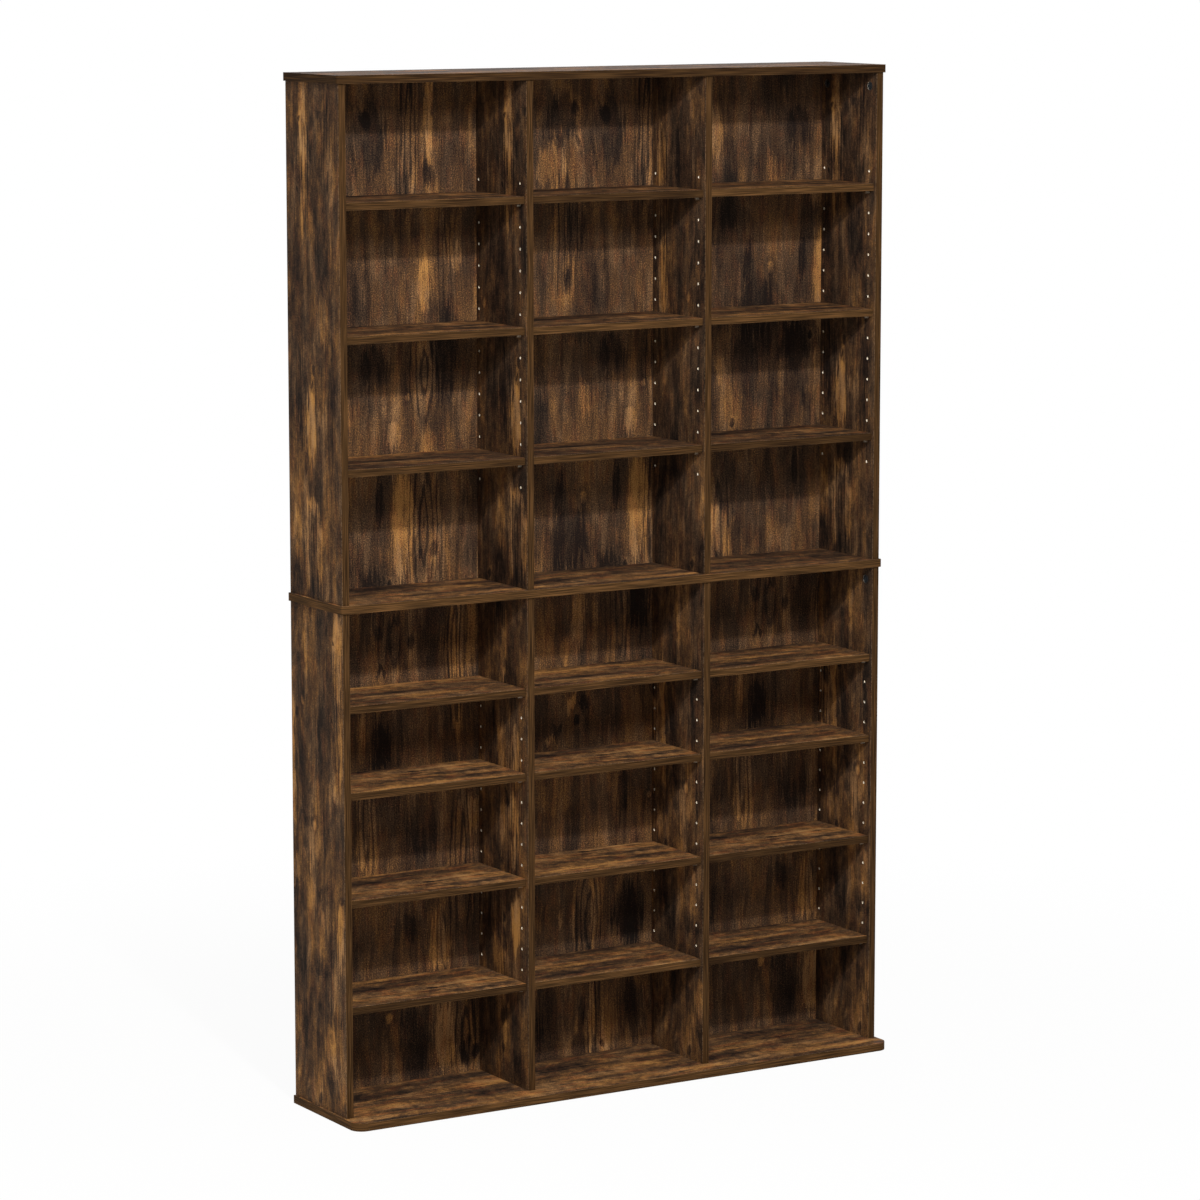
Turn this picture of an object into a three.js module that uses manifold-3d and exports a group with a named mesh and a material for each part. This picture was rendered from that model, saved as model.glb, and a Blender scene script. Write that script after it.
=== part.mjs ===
// A tall media cabinet for discs: two stacked units of three columns, a shared middle board between
// them, and 21 loose shelves that rest on pins in rows of bored holes.
// Millimetres. +X right, +Y to the back, +Z up. The origin is on the floor, in the middle of the footprint.

import * as THREE from 'three';
import { mergeVertices } from 'three/addons/utils/BufferGeometryUtils.js';
import Module from 'manifold-3d';

const wasm = await Module();
wasm.setup();

// Carcass boards: the three level boards and the eight uprights between them
const boardThickness = 14;
const uprightThickness = 13;
const uprightDepth = 188;
const columnWidth = 345;
const boardOverhang = 4;
const boardCornerRadius = 4;
const baseReach = 42;
const baseCornerRadius = 22;

// Rows of bored holes, and the pins that carry the shelves
const holePitch = 37;
const holesPerRow = 15;
const holeEndMargin = 174.25;
const holeDiameter = 5;
const holeDepth = 5.5;
const frontRowSetback = 22;
const rearRowSetback = 25;
const pinReach = 7;

// Loose shelves
const shelfThickness = 13;
const shelfSetback = 6;
const shelfEndClearance = 0.8;
const shelfRearClearance = 1;

// Thin back panels, slid into grooves
const backThickness = 3;
const backSetback = 13;
const grooveDepth = 4;

// Cam locks, and the bolts that they draw on
const camDiameter = 15;
const camDepth = 9.6;
const camFromEnd = 24;
const rearCamSetback = 32;
const camSlotLength = 8;
const camSlotWidth = 1.6;
const camSlotDepth = 2;
const boltDiameter = 6;
const boltTipGap = 1;

// Countersunk screws, driven up through the base and the middle board
const screwLength = 40;
const screwShankDiameter = 5;
const screwHeadDiameter = 9;
const screwHeadDepth = 3.2;
const screwTipLength = 5;
const screwSetback = 50;
const screwSlotLength = 5;
const screwSlotWidth = 1.2;
const screwSlotDepth = 1.4;

// Dowels that stand out of the ends of the dividers. Those at the feet stand further apart than those at
// the heads, so that the two sets pass each other in the middle board.
const dowelDiameter = 8;
const dowelReach = 9;
const headDowelSpacing = 32;
const footDowelSpacing = 64;

// Running gap between pieces that fit into each other, and the overrun of every cut
const fit = 0.3;
const overrun = 5;

// Sides of the small round forms
const holeSides = 6;
const rodSides = 8;
const camSides = 12;
const screwSides = 8;
const smallCornerSteps = 3;
const largeCornerSteps = 8;

// Sizes that follow from the ones above
const columnPitch = columnWidth + uprightThickness;
const columnNames = ['left', 'centre', 'right'];
const uprightNames = ['left_side_panel', 'left_divider', 'right_divider', 'right_side_panel'];
const carcassWidth = columnNames.length * columnPitch + uprightThickness;
const boardWidth = carcassWidth + 2 * boardOverhang;
const uprightHeight = 2 * holeEndMargin + (holesPerRow - 1) * holePitch;
const totalDepth = baseReach + uprightDepth;
const rearFace = totalDepth / 2;
const uprightFront = rearFace - uprightDepth;
const backFront = rearFace - backSetback - backThickness;
const rowPlaces = [uprightFront + frontRowSetback, rearFace - rearRowSetback];
const camPlaces = [uprightFront + frontRowSetback, rearFace - rearCamSetback];
const screwPlaces = [uprightFront + screwSetback, rearFace - screwSetback];
const uprightMiddle = uprightFront + uprightDepth / 2;
const headDowelPlaces = [uprightMiddle - headDowelSpacing / 2, uprightMiddle + headDowelSpacing / 2];
const footDowelPlaces = [uprightMiddle - footDowelSpacing / 2, uprightMiddle + footDowelSpacing / 2];
const placeNames = ['front', 'rear'];
const sideNames = ['left', 'right'];
const sideIndexes = [0, uprightNames.length - 1];
const dividerIndexes = uprightNames.map((_, index) => index).slice(1, -1);

// The two units, with the holes that carry their shelves, counted from the top
const lowerFloor = boardThickness;
const middleBottom = lowerFloor + uprightHeight;
const upperFloor = middleBottom + boardThickness;
const topBottom = upperFloor + uprightHeight;
const units = [
  { name: 'upper', floor: upperFloor, shelfHoles: [2, 8, 14] },
  { name: 'lower', floor: lowerFloor, shelfHoles: [1, 5, 10, 15] },
];

// Finishes
const decor = { color: 0x4d3624, roughness: 0.55, metalness: 0 };
const shelfDecor = { color: 0x5f4329, roughness: 0.55, metalness: 0 };
const backDecor = { color: 0x46311f, roughness: 0.6, metalness: 0 };
const camMetal = { color: 0x69727a, roughness: 0.45, metalness: 0.8 };
const screwMetal = { color: 0xb4b6b8, roughness: 0.35, metalness: 0.9 };

const cabinet = new THREE.Group();

// Solids and meshes
function solidFrom(geometry) {
  const bare = geometry.clone();
  bare.deleteAttribute('normal');
  bare.deleteAttribute('uv');
  const merged = mergeVertices(bare);
  const vertProperties = new Float32Array(merged.attributes.position.array);
  const triVerts = new Uint32Array(merged.index.array);
  return new wasm.Manifold(new wasm.Mesh({ numProp: 3, vertProperties, triVerts }));
}

function geometryFrom(solid) {
  const mesh = solid.getMesh();
  const geometry = new THREE.BufferGeometry();
  geometry.setAttribute('position', new THREE.BufferAttribute(mesh.vertProperties, mesh.numProp));
  geometry.setIndex(new THREE.BufferAttribute(mesh.triVerts, 1));
  return geometry;
}

function joined(solids) {
  return solids.reduce((whole, piece) => whole.add(piece));
}

function addPiece(name, geometry, finish, x, y, z) {
  const mesh = new THREE.Mesh(geometry, new THREE.MeshStandardMaterial(finish));
  mesh.name = name;
  mesh.position.set(x, y, z);
  cabinet.add(mesh);
}

// A block from its lowest corner
function block(width, depth, height, x, y, z) {
  const geometry = new THREE.BoxGeometry(width, depth, height);
  geometry.translate(x + width / 2, y + depth / 2, z + height / 2);
  return solidFrom(geometry);
}

// A round rod between two heights
function uprightRod(diameter, sides, x, y, bottom, top) {
  const geometry = new THREE.CylinderGeometry(diameter / 2, diameter / 2, top - bottom, sides);
  geometry.rotateX(Math.PI / 2);
  geometry.translate(x, y, (bottom + top) / 2);
  return solidFrom(geometry);
}

// A round rod across the cabinet, between two places along X
function levelRod(diameter, sides, left, right, y, z) {
  const geometry = new THREE.CylinderGeometry(diameter / 2, diameter / 2, right - left, sides);
  geometry.rotateZ(Math.PI / 2);
  geometry.translate((left + right) / 2, y, z);
  return solidFrom(geometry);
}

// Places of the uprights and the holes
function uprightLeft(index) {
  return -carcassWidth / 2 + index * columnPitch;
}

function columnLeft(index) {
  return uprightLeft(index) + uprightThickness;
}

function holeHeight(number) {
  return uprightHeight - holeEndMargin - (number - 1) * holePitch;
}

// A screw with its head down, standing on its own origin; spare widens it for the hole that takes it
function screwProfile(spare) {
  const head = screwHeadDiameter / 2 + spare;
  const shank = screwShankDiameter / 2 + spare;
  const shankTop = screwLength - screwTipLength;
  return [
    new THREE.Vector2(0, 0),
    new THREE.Vector2(head, 0),
    new THREE.Vector2(shank, screwHeadDepth),
    new THREE.Vector2(shank, shankTop + spare),
    new THREE.Vector2(0, screwLength + spare),
  ];
}

function screwSolid(spare) {
  const geometry = new THREE.LatheGeometry(screwProfile(spare), screwSides);
  geometry.rotateX(Math.PI / 2);
  return solidFrom(geometry);
}

// The hole for a screw that comes up through a board, with room in front of its sunk head
function screwHole(x, y, z) {
  const mouth = uprightRod(screwHeadDiameter + 2 * fit, screwSides, x, y, z - overrun, z);
  return screwSolid(fit).translate(x, y, z).add(mouth);
}

function crossSlot(length, width, depth) {
  const along = block(length, width, depth, -length / 2, -width / 2, 0);
  const across = block(width, length, depth, -width / 2, -length / 2, 0);
  return along.add(across);
}

// Level boards: an outline with round front corners, drawn out to the board's thickness
function boardBlank(front, cornerRadius, cornerSteps) {
  const half = boardWidth / 2;
  const outline = new THREE.Shape();
  outline.moveTo(-half, rearFace);
  outline.lineTo(-half, front + cornerRadius);
  outline.absarc(-half + cornerRadius, front + cornerRadius, cornerRadius, Math.PI, 1.5 * Math.PI);
  outline.lineTo(half - cornerRadius, front);
  outline.absarc(half - cornerRadius, front + cornerRadius, cornerRadius, 1.5 * Math.PI, 2 * Math.PI);
  outline.lineTo(half, rearFace);
  outline.closePath();
  return solidFrom(new THREE.ExtrudeGeometry(outline, {
    depth: boardThickness,
    bevelEnabled: false,
    curveSegments: cornerSteps,
  }));
}

// The grooves that take the ends of the back panels, one for each column
function boardGrooves(bottom) {
  const width = columnWidth + 2 * grooveDepth;
  const depth = backThickness + 2 * fit;
  return columnNames.map((_, index) => block(
    width, depth, grooveDepth + overrun, columnLeft(index) - grooveDepth, backFront - fit, bottom,
  ));
}

// The holes that take the dowels of the two dividers
function dowelHoles(places, bottom, top) {
  return dividerIndexes.flatMap((index) => places.map((y) => uprightRod(
    dowelDiameter + 2 * fit, rodSides, uprightLeft(index) + uprightThickness / 2, y, bottom, top,
  )));
}

const grooveFloor = boardThickness - grooveDepth;
const dowelFloor = boardThickness - dowelReach - fit;

function upperFaceCuts() {
  const holes = dowelHoles(footDowelPlaces, dowelFloor, boardThickness + overrun);
  return [...boardGrooves(grooveFloor), ...holes];
}

function lowerFaceCuts() {
  const holes = dowelHoles(headDowelPlaces, -overrun, dowelReach + fit);
  return [...boardGrooves(-overrun), ...holes];
}

// The bolts screwed into a board from below, one for each cam lock of the side panels under it
function boardBolts() {
  const tip = -(camFromEnd - boltTipGap);
  const root = boardThickness / 2;
  return sideIndexes.flatMap((index) => camPlaces.map((y) => uprightRod(
    boltDiameter, rodSides, uprightLeft(index) + uprightThickness / 2, y, tip, root,
  )));
}

function screwHoles(indexes) {
  return indexes.flatMap((index) => screwPlaces.map((y) => screwHole(
    uprightLeft(index) + uprightThickness / 2, y, fit,
  )));
}

function addBoards() {
  const overhangFront = uprightFront - boardOverhang;
  const allIndexes = uprightNames.map((_, index) => index);
  const slimBlank = boardBlank(overhangFront, boardCornerRadius, smallCornerSteps);
  const baseBlank = boardBlank(uprightFront - baseReach, baseCornerRadius, largeCornerSteps);

  const top = slimBlank.subtract(joined(lowerFaceCuts())).add(joined(boardBolts()));
  const middleCuts = [...lowerFaceCuts(), ...upperFaceCuts(), ...screwHoles(sideIndexes)];
  const middle = slimBlank.subtract(joined(middleCuts)).add(joined(boardBolts()));
  const base = baseBlank.subtract(joined([...boardGrooves(grooveFloor), ...screwHoles(allIndexes)]));

  addPiece('top_board', geometryFrom(top), decor, 0, 0, topBottom);
  addPiece('middle_board', geometryFrom(middle), decor, 0, 0, middleBottom);
  addPiece('base_board', geometryFrom(base), decor, 0, 0, 0);
}

// Uprights: drawn with their left face at x = 0 and their foot at z = 0
function facesOf(index) {
  const leftFace = { x: 0, inward: 1 };
  const rightFace = { x: uprightThickness, inward: -1 };
  if (index === 0) {
    return [rightFace];
  }
  return index < uprightNames.length - 1 ? [leftFace, rightFace] : [leftFace];
}

// A rod that runs from one depth to another, both counted inwards from a face
function rodAtFace(face, diameter, sides, from, to, y, z) {
  const ends = [face.x + face.inward * from, face.x + face.inward * to];
  return levelRod(diameter, sides, Math.min(...ends), Math.max(...ends), y, z);
}

function groove(face) {
  const inner = face.x + face.inward * grooveDepth;
  const outer = face.x - face.inward * overrun;
  return block(
    Math.abs(outer - inner), backThickness + 2 * fit, uprightHeight + 2 * overrun,
    Math.min(inner, outer), backFront - fit, -overrun,
  );
}

function openHoles(face, shelfHoles) {
  const numbers = Array.from({ length: holesPerRow }, (_, step) => step + 1);
  const free = numbers.filter((number) => !shelfHoles.includes(number));
  return rowPlaces.flatMap((y) => free.map((number) => rodAtFace(
    face, holeDiameter, holeSides, -overrun, holeDepth, y, holeHeight(number),
  )));
}

function shelfPins(face, shelfHoles) {
  return rowPlaces.flatMap((y) => shelfHoles.map((number) => rodAtFace(
    face, holeDiameter, holeSides, -pinReach, holeDepth, y, holeHeight(number),
  )));
}

function camBores(face) {
  const height = uprightHeight - camFromEnd;
  const middle = uprightThickness / 2;
  return camPlaces.flatMap((y) => [
    rodAtFace(face, camDiameter + 2 * fit, camSides, -overrun, camDepth + fit, y, height),
    uprightRod(boltDiameter + 2 * fit, rodSides, middle, y, height, uprightHeight + overrun),
  ]);
}

function dowelsAt(places, bottom, top) {
  return places.map((y) => uprightRod(
    dowelDiameter, rodSides, uprightThickness / 2, y, bottom, top,
  ));
}

function screwBores() {
  const headHeight = fit - boardThickness;
  return screwPlaces.map((y) => screwSolid(fit).translate(uprightThickness / 2, y, headHeight));
}

function uprightSolid(unit, index) {
  const faces = facesOf(index);
  const isSide = faces.length === 1;
  const isOnBase = unit.floor === lowerFloor;
  const blank = block(uprightThickness, uprightDepth, uprightHeight, 0, uprightFront, 0);
  const cuts = faces.flatMap((face) => [groove(face), ...openHoles(face, unit.shelfHoles)]);
  const added = faces.flatMap((face) => shelfPins(face, unit.shelfHoles));
  if (isSide) {
    cuts.push(...camBores(faces[0]));
  }
  if (isSide || isOnBase) {
    cuts.push(...screwBores());
  }
  if (!isSide) {
    added.push(...dowelsAt(headDowelPlaces, uprightHeight - dowelReach, uprightHeight + dowelReach));
  }
  if (!isSide && !isOnBase) {
    added.push(...dowelsAt(footDowelPlaces, -dowelReach, dowelReach));
  }
  return blank.subtract(joined(cuts)).add(joined(added));
}

function addUprights() {
  for (const unit of units) {
    uprightNames.forEach((name, index) => {
      const geometry = geometryFrom(uprightSolid(unit, index));
      addPiece(`${unit.name}_${name}`, geometry, decor, uprightLeft(index), 0, unit.floor);
    });
  }
}

// Back panels: one to a column, held in the grooves on all four edges
function addBacks() {
  const reach = grooveDepth - fit;
  const width = columnWidth + 2 * reach;
  const height = uprightHeight + 2 * reach;
  for (const unit of units) {
    columnNames.forEach((name, index) => addPiece(
      `${unit.name}_${name}_back_panel`,
      new THREE.BoxGeometry(width, backThickness, height),
      backDecor,
      columnLeft(index) + columnWidth / 2,
      backFront + backThickness / 2,
      unit.floor + uprightHeight / 2,
    ));
  }
}

// Shelves: each lies on four pins, a little behind the front edges of the uprights
function addShelves() {
  const width = columnWidth - 2 * shelfEndClearance;
  const front = uprightFront + shelfSetback;
  const depth = backFront - shelfRearClearance - front;
  const pinTop = holeDiameter / 2;
  for (const unit of units) {
    columnNames.forEach((name, index) => unit.shelfHoles.forEach((number, order) => addPiece(
      `${unit.name}_${name}_shelf_${order + 1}`,
      new THREE.BoxGeometry(width, depth, shelfThickness),
      shelfDecor,
      columnLeft(index) + columnWidth / 2,
      front + depth / 2,
      unit.floor + holeHeight(number) + pinTop + fit + shelfThickness / 2,
    )));
  }
}

// Cam locks: discs with a cross slot in the face and a bore in the rim for the bolt
function camSolid(face) {
  const disc = rodAtFace(face, camDiameter, camSides, 0, camDepth, 0, 0);
  const slot = crossSlot(camSlotLength, camSlotWidth, camSlotDepth + overrun);
  const turned = slot.translate(0, 0, -camSlotDepth).rotate(0, -face.inward * 90, 0);
  const middle = uprightThickness / 2;
  const bore = uprightRod(boltDiameter + 2 * fit, rodSides, middle, 0, 0, camDiameter);
  return disc.subtract(turned.translate(face.x, 0, 0)).subtract(bore);
}

function addCams() {
  for (const unit of units) {
    sideIndexes.forEach((index, side) => camPlaces.forEach((y, place) => addPiece(
      `${unit.name}_${sideNames[side]}_cam_lock_${placeNames[place]}`,
      geometryFrom(camSolid(facesOf(index)[0])),
      camMetal,
      uprightLeft(index),
      y,
      unit.floor + uprightHeight - camFromEnd,
    )));
  }
}

// Screws: up through the base into all four lower uprights, and through the middle board into the
// upper side panels
function addScrews() {
  const slot = crossSlot(screwSlotLength, screwSlotWidth, screwSlotDepth + overrun);
  const screw = screwSolid(0).subtract(slot.translate(0, 0, -overrun));
  const middle = uprightThickness / 2;
  const seats = [
    ...uprightNames.map((name, index) => ({ name: `base_screw_${name}`, index, board: 0 })),
    ...sideIndexes.map((index) => ({
      name: `middle_screw_${uprightNames[index]}`, index, board: middleBottom,
    })),
  ];
  for (const seat of seats) {
    screwPlaces.forEach((y, place) => addPiece(
      `${seat.name}_${placeNames[place]}`,
      geometryFrom(screw),
      screwMetal,
      uprightLeft(seat.index) + middle,
      y,
      seat.board + fit,
    ));
  }
}

addBoards();
addUprights();
addBacks();
addShelves();
addCams();
addScrews();

export default cabinet;
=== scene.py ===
"""The looks of a tall open disc cabinet in smoked-oak print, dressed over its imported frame."""
import math

import bpy
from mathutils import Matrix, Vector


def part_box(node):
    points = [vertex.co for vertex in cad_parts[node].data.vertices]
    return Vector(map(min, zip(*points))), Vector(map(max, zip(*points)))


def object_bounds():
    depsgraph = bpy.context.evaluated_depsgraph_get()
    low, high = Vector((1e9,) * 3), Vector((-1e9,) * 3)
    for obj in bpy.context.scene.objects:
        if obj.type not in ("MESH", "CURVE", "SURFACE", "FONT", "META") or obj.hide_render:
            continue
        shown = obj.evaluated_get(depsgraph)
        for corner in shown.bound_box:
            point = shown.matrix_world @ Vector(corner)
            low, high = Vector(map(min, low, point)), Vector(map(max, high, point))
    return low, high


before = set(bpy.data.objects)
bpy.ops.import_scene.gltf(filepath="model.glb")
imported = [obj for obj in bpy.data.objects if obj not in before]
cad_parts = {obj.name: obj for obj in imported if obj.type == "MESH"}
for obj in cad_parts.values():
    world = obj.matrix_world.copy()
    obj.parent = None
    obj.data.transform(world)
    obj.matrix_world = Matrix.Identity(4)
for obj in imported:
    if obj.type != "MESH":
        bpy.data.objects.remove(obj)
cad_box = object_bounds()

# The view.
# A long lens stands to the left of the cabinet, above its top, and looks down on it.
LENS = 134.9
STAND = (-4.0245, -6.6352, 2.031)
TURN = 31.26
DIP = 8.63

camera = bpy.data.objects.new("camera", bpy.data.cameras.new("camera"))
camera.data.lens = LENS
camera.location = STAND
camera.rotation_euler = (math.radians(90 - DIP), 0, math.radians(-TURN))
bpy.context.collection.objects.link(camera)
bpy.context.scene.camera = camera
bpy.context.scene.view_settings.view_transform = "Standard"


# The studio.
# White paper under and behind the cabinet. A small hard lamp high in front draws the crisp shadows, a
# wider one below it softens them, a wide lamp fills from the left, and the room adds the rest.
WHITE = "#ffffff"
PAPER = "#f4f3f0"
PAPER_SIZE = 40.0
ROOM_GLOW = 0.36
# The paper glows a little less near the cabinet, in metres from its foot, so that it keeps the shadow.
PAPER_GLOW = 0.95
PAPER_NEAR = 0.7
PAPER_FAR = 2.2
KEY_PLACE = (-1.2, -3.45, 3.53)
KEY_WATTS = 130
KEY_SIZE = 0.2
SOFT_PLACE = (-1.2, -3.45, 3.04)
SOFT_WATTS = 57
SOFT_SIZE = 0.74
FILL_PLACE = (-4.2, -0.4, 1.6)
FILL_WATTS = 18
FILL_SIZE = 2.4
MIDDLE = (0, 0, 0.9)


def linear(code):
    """An sRGB hex code as the linear colour that Blender's sockets take."""
    parts = [int(code[i:i + 2], 16) / 255 for i in (1, 3, 5)]
    curve = [c / 12.92 if c <= 0.04045 else ((c + 0.055) / 1.055) ** 2.4 for c in parts]
    return (*curve, 1.0)


def add(tree, kind, links=None, stops=(), **settings):
    """Adds a node with its settings, its inputs as numbers, colours or links, and a ramp's stops."""
    made = tree.nodes.new(kind)
    for name, value in settings.items():
        setattr(made, name, value)
    for socket, value in (links or {}).items():
        if isinstance(value, bpy.types.Node):
            value = value.outputs[0]
        if isinstance(value, bpy.types.NodeSocket):
            tree.links.new(value, made.inputs[socket])
        else:
            made.inputs[socket].default_value = value
    while stops and len(made.color_ramp.elements) < len(stops):
        made.color_ramp.elements.new(1.0)
    for i, (where, code) in enumerate(stops):
        made.color_ramp.elements[i].position = where
        made.color_ramp.elements[i].color = linear(code)
    return made


def new_material(name):
    """An empty material and its node tree."""
    made = bpy.data.materials.new(name)
    made.use_nodes = True
    made.node_tree.nodes.clear()
    return made, made.node_tree


def seen_directly(tree):
    """1 for camera, mirror and clear rays, so that white paper shows white there, and 0 for others."""
    rays = add(tree, "ShaderNodeLightPath")
    eye = rays.outputs["Is Camera Ray"]
    mirror = rays.outputs["Is Glossy Ray"]
    clear = rays.outputs["Is Transmission Ray"]
    either = add(tree, "ShaderNodeMath", {0: eye, 1: mirror}, operation="MAXIMUM")
    return add(tree, "ShaderNodeMath", {0: either, 1: clear}, operation="MAXIMUM")


def lamp(name, place, watts, size):
    """A round lamp that looks at the cabinet's middle."""
    light = bpy.data.lights.new(name, "AREA")
    light.shape = "DISK"
    light.energy = watts
    light.size = size
    made = bpy.data.objects.new(name, light)
    made.location = place
    aim = [m - p for m, p in zip(MIDDLE, place)]
    tilt = math.atan2(math.hypot(aim[0], aim[1]), -aim[2])
    made.rotation_euler = (tilt, 0, math.atan2(aim[1], aim[0]) - math.pi / 2)
    bpy.context.collection.objects.link(made)


world = bpy.data.worlds.new("room")
bpy.context.scene.world = world
world.use_nodes = True
world.node_tree.nodes.clear()
room = world.node_tree
links = {"Value": seen_directly(room), "To Min": ROOM_GLOW, "To Max": 1.0}
glow = add(room, "ShaderNodeMapRange", links)
sky = add(room, "ShaderNodeBackground", {"Color": linear(WHITE), "Strength": glow})
add(room, "ShaderNodeOutputWorld", {"Surface": sky})

paper, tree = new_material("studio paper")
matt = add(tree, "ShaderNodeBsdfDiffuse", {"Color": linear(PAPER)})
lit = add(tree, "ShaderNodeEmission", {"Color": linear(WHITE), "Strength": 1.0})
place = add(tree, "ShaderNodeTexCoord").outputs["Object"]
away = add(tree, "ShaderNodeVectorMath", {0: place}, operation="LENGTH").outputs["Value"]
links = {"Value": away, "From Min": PAPER_NEAR, "From Max": PAPER_FAR, "To Min": PAPER_GLOW, "To Max": 1.0}
white = add(tree, "ShaderNodeMapRange", links, interpolation_type="SMOOTHSTEP")
share = add(tree, "ShaderNodeMath", {0: seen_directly(tree), 1: white}, operation="MULTIPLY")
both = add(tree, "ShaderNodeMixShader", {"Fac": share, 1: matt, 2: lit})
add(tree, "ShaderNodeOutputMaterial", {"Surface": both})

bpy.ops.mesh.primitive_plane_add(size=PAPER_SIZE, location=(0, 0, cad_box[0].z))
floor = bpy.context.object
floor.name = "studio_floor"
floor.data.materials.append(paper)

lamp("key", KEY_PLACE, KEY_WATTS, KEY_SIZE)
lamp("soft", SOFT_PLACE, SOFT_WATTS, SOFT_SIZE)
lamp("fill", FILL_PLACE, FILL_WATTS, FILL_SIZE)


# Side panels and dividers.
# 13 mm melamine-faced chipboard. The faces carry a printed smoked-oak decor with the grain upright,
# the front edges a thin plain-brown band, and the bored holes show the pale core, painted nearly white as
# a highlight so that they show as bright dots even in shade.
MM = 1000.0
# Where the rear edges lie, in millimetres, and the front edges, in metres.
PANEL_REAR = 115.0
UPRIGHT_FRONT = -0.073
# The print's streaks and clouds: millimetres across the grain from the rear edge,
# millimetres up, half width, half length, and how much lighter or darker the wood is there.
UPPER_STAINS = (
    (62, 1680, 14, 95, 0.38), (60, 1550, 13, 60, 0.21), (15, 1630, 16, 80, -0.17),
    (22, 1480, 24, 56, -0.17), (90, 1645, 7, 22, -0.19), (120, 1710, 13, 15, -0.19),
    (120, 1620, 12, 26, -0.17), (128, 1480, 24, 46, -0.2), (152, 1600, 22, 60, 0.1),
    (172, 1440, 14, 42, 0.07), (128, 1375, 26, 40, 0.23), (120, 1310, 22, 26, -0.17),
    (86, 1250, 7, 13, -0.36), (82, 1185, 23, 66, 0.44), (118, 1205, 9, 22, 0.23),
    (62, 1120, 5, 26, -0.23), (84, 1080, 15, 16, -0.2), (65, 980, 8, 80, 0.3), (108, 980, 9, 80, 0.34),
    (86, 1052, 22, 13, 0.25), (85, 965, 11, 70, -0.1), (30, 1000, 20, 46, 0.23),
    (30, 930, 24, 22, -0.17), (154, 1000, 36, 110, 0.05), (0, 1375, 13, 32, -0.16),
    (-114, 1615, 16, 60, 0.34), (-110, 1405, 18, 70, 0.32), (-58, 1620, 8, 64, -0.2),
    (-30, 1240, 20, 64, 0.14), (10, 1300, 14, 50, 0.11), (165, 1260, 16, 90, -0.12),
    (40, 1210, 12, 60, -0.16), (150, 1150, 20, 44, -0.1), (-70, 1100, 18, 80, -0.14),
    (-20, 1060, 14, 60, 0.11), (100, 1560, 12, 44, -0.1),
)
LOWER_STAINS = (
    (4, 600, 8, 160, 0.32), (66, 820, 30, 64, 0.21), (42, 740, 9, 54, -0.17), (112, 830, 20, 56, -0.17),
    (168, 812, 18, 78, 0.41), (172, 670, 10, 80, 0.23), (118, 650, 27, 100, -0.22),
    (42, 600, 20, 66, -0.2), (74, 640, 10, 90, 0.11), (158, 576, 11, 22, 0.18), (42, 510, 21, 24, -0.2),
    (120, 510, 12, 54, -0.16), (78, 475, 24, 32, 0.17), (6, 425, 20, 32, 0.32), (72, 400, 15, 60, 0.16),
    (30, 320, 25, 90, -0.17), (100, 400, 13, 15, -0.2), (174, 330, 14, 64, 0.39),
    (180, 381, 15, 9, -0.24), (100, 330, 28, 50, 0.14), (138, 310, 6, 40, -0.2),
    (100, 258, 23, 11, -0.17), (140, 235, 22, 36, 0.21), (95, 145, 17, 60, -0.22),
    (38, 150, 12, 64, -0.2), (135, 130, 24, 46, 0.3), (138, 58, 29, 22, -0.2), (176, 110, 12, 84, 0.28),
    (100, 90, 14, 13, 0.14), (-25, 600, 18, 74, 0.14), (-32, 430, 16, 60, -0.18),
    (-40, 300, 18, 60, 0.09), (-295, 775, 10, 56, 0.3), (-308, 850, 14, 32, -0.2),
    (-300, 735, 10, 22, 0.28), (-305, 620, 16, 50, 0.28), (-255, 610, 16, 50, 0.34),
    (-340, 630, 22, 50, -0.2), (-282, 521, 9, 13, -0.32), (-260, 490, 18, 50, 0.34),
    (-300, 480, 12, 44, 0.23), (-262, 420, 14, 34, 0.32), (-302, 412, 11, 7, -0.22),
    (-255, 300, 18, 54, 0.51), (-310, 235, 28, 36, 0.16), (-300, 145, 14, 18, -0.29),
    (-295, 115, 8, 24, 0.32), (-350, 300, 24, 70, -0.16), (-345, 120, 24, 80, -0.16),
    (-250, 120, 30, 70, -0.05),
)
# Knots: millimetres across and up, size, and how much darker, or below 0 lighter, the wood is there.
UPPER_KNOTS = (
    (52, 1700, 4, 0.5), (92, 1695, 10, 0.22), (40, 1585, 3, 0.45), (92, 1280, 6, 0.3),
    (-24, 1388, 6, -0.3), (-62, 1598, 4, -0.28), (-9, 912, 5, 0.35), (132, 1562, 2.5, 0.4),
)
LOWER_KNOTS = (
    (155, 821, 4, 0.4), (145, 703, 3, 0.45), (25, 775, 8, 0.2), (43, 720, 5, -0.3), (22, 690, 6, 0.35),
    (80, 507, 6, -0.32), (47, 40, 6, -0.2), (92, 33, 6, 0.35), (-25, 665, 12, 0.4),
    (-295, 260, 7, 0.25), (-295, 308, 5, 0.35), (-285, 163, 4, -0.3), (-300, 82, 6, 0.35),
    (140, 152, 7, 0.25),
)
# Growth rings: millimetres across and up, half width, half length, how many, and how strong.
UPPER_RINGS = (
    (64, 1600, 24, 150, 3, 0.24), (86, 985, 26, 110, 3, 0.21), (-112, 1500, 26, 240, 3, 0.18),
    (40, 1240, 22, 120, 3, 0.15), (150, 1180, 30, 160, 3, 0.12), (150, 1680, 26, 130, 3, 0.12),
)
LOWER_RINGS = (
    (168, 700, 20, 150, 3, 0.21), (-262, 520, 30, 200, 4, 0.24), (-300, 850, 20, 110, 3, 0.21),
    (-25, 620, 26, 110, 3, 0.24), (75, 480, 30, 110, 3, 0.12), (-295, 240, 24, 80, 3, 0.21),
    (150, 250, 24, 130, 3, 0.12),
)
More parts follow.
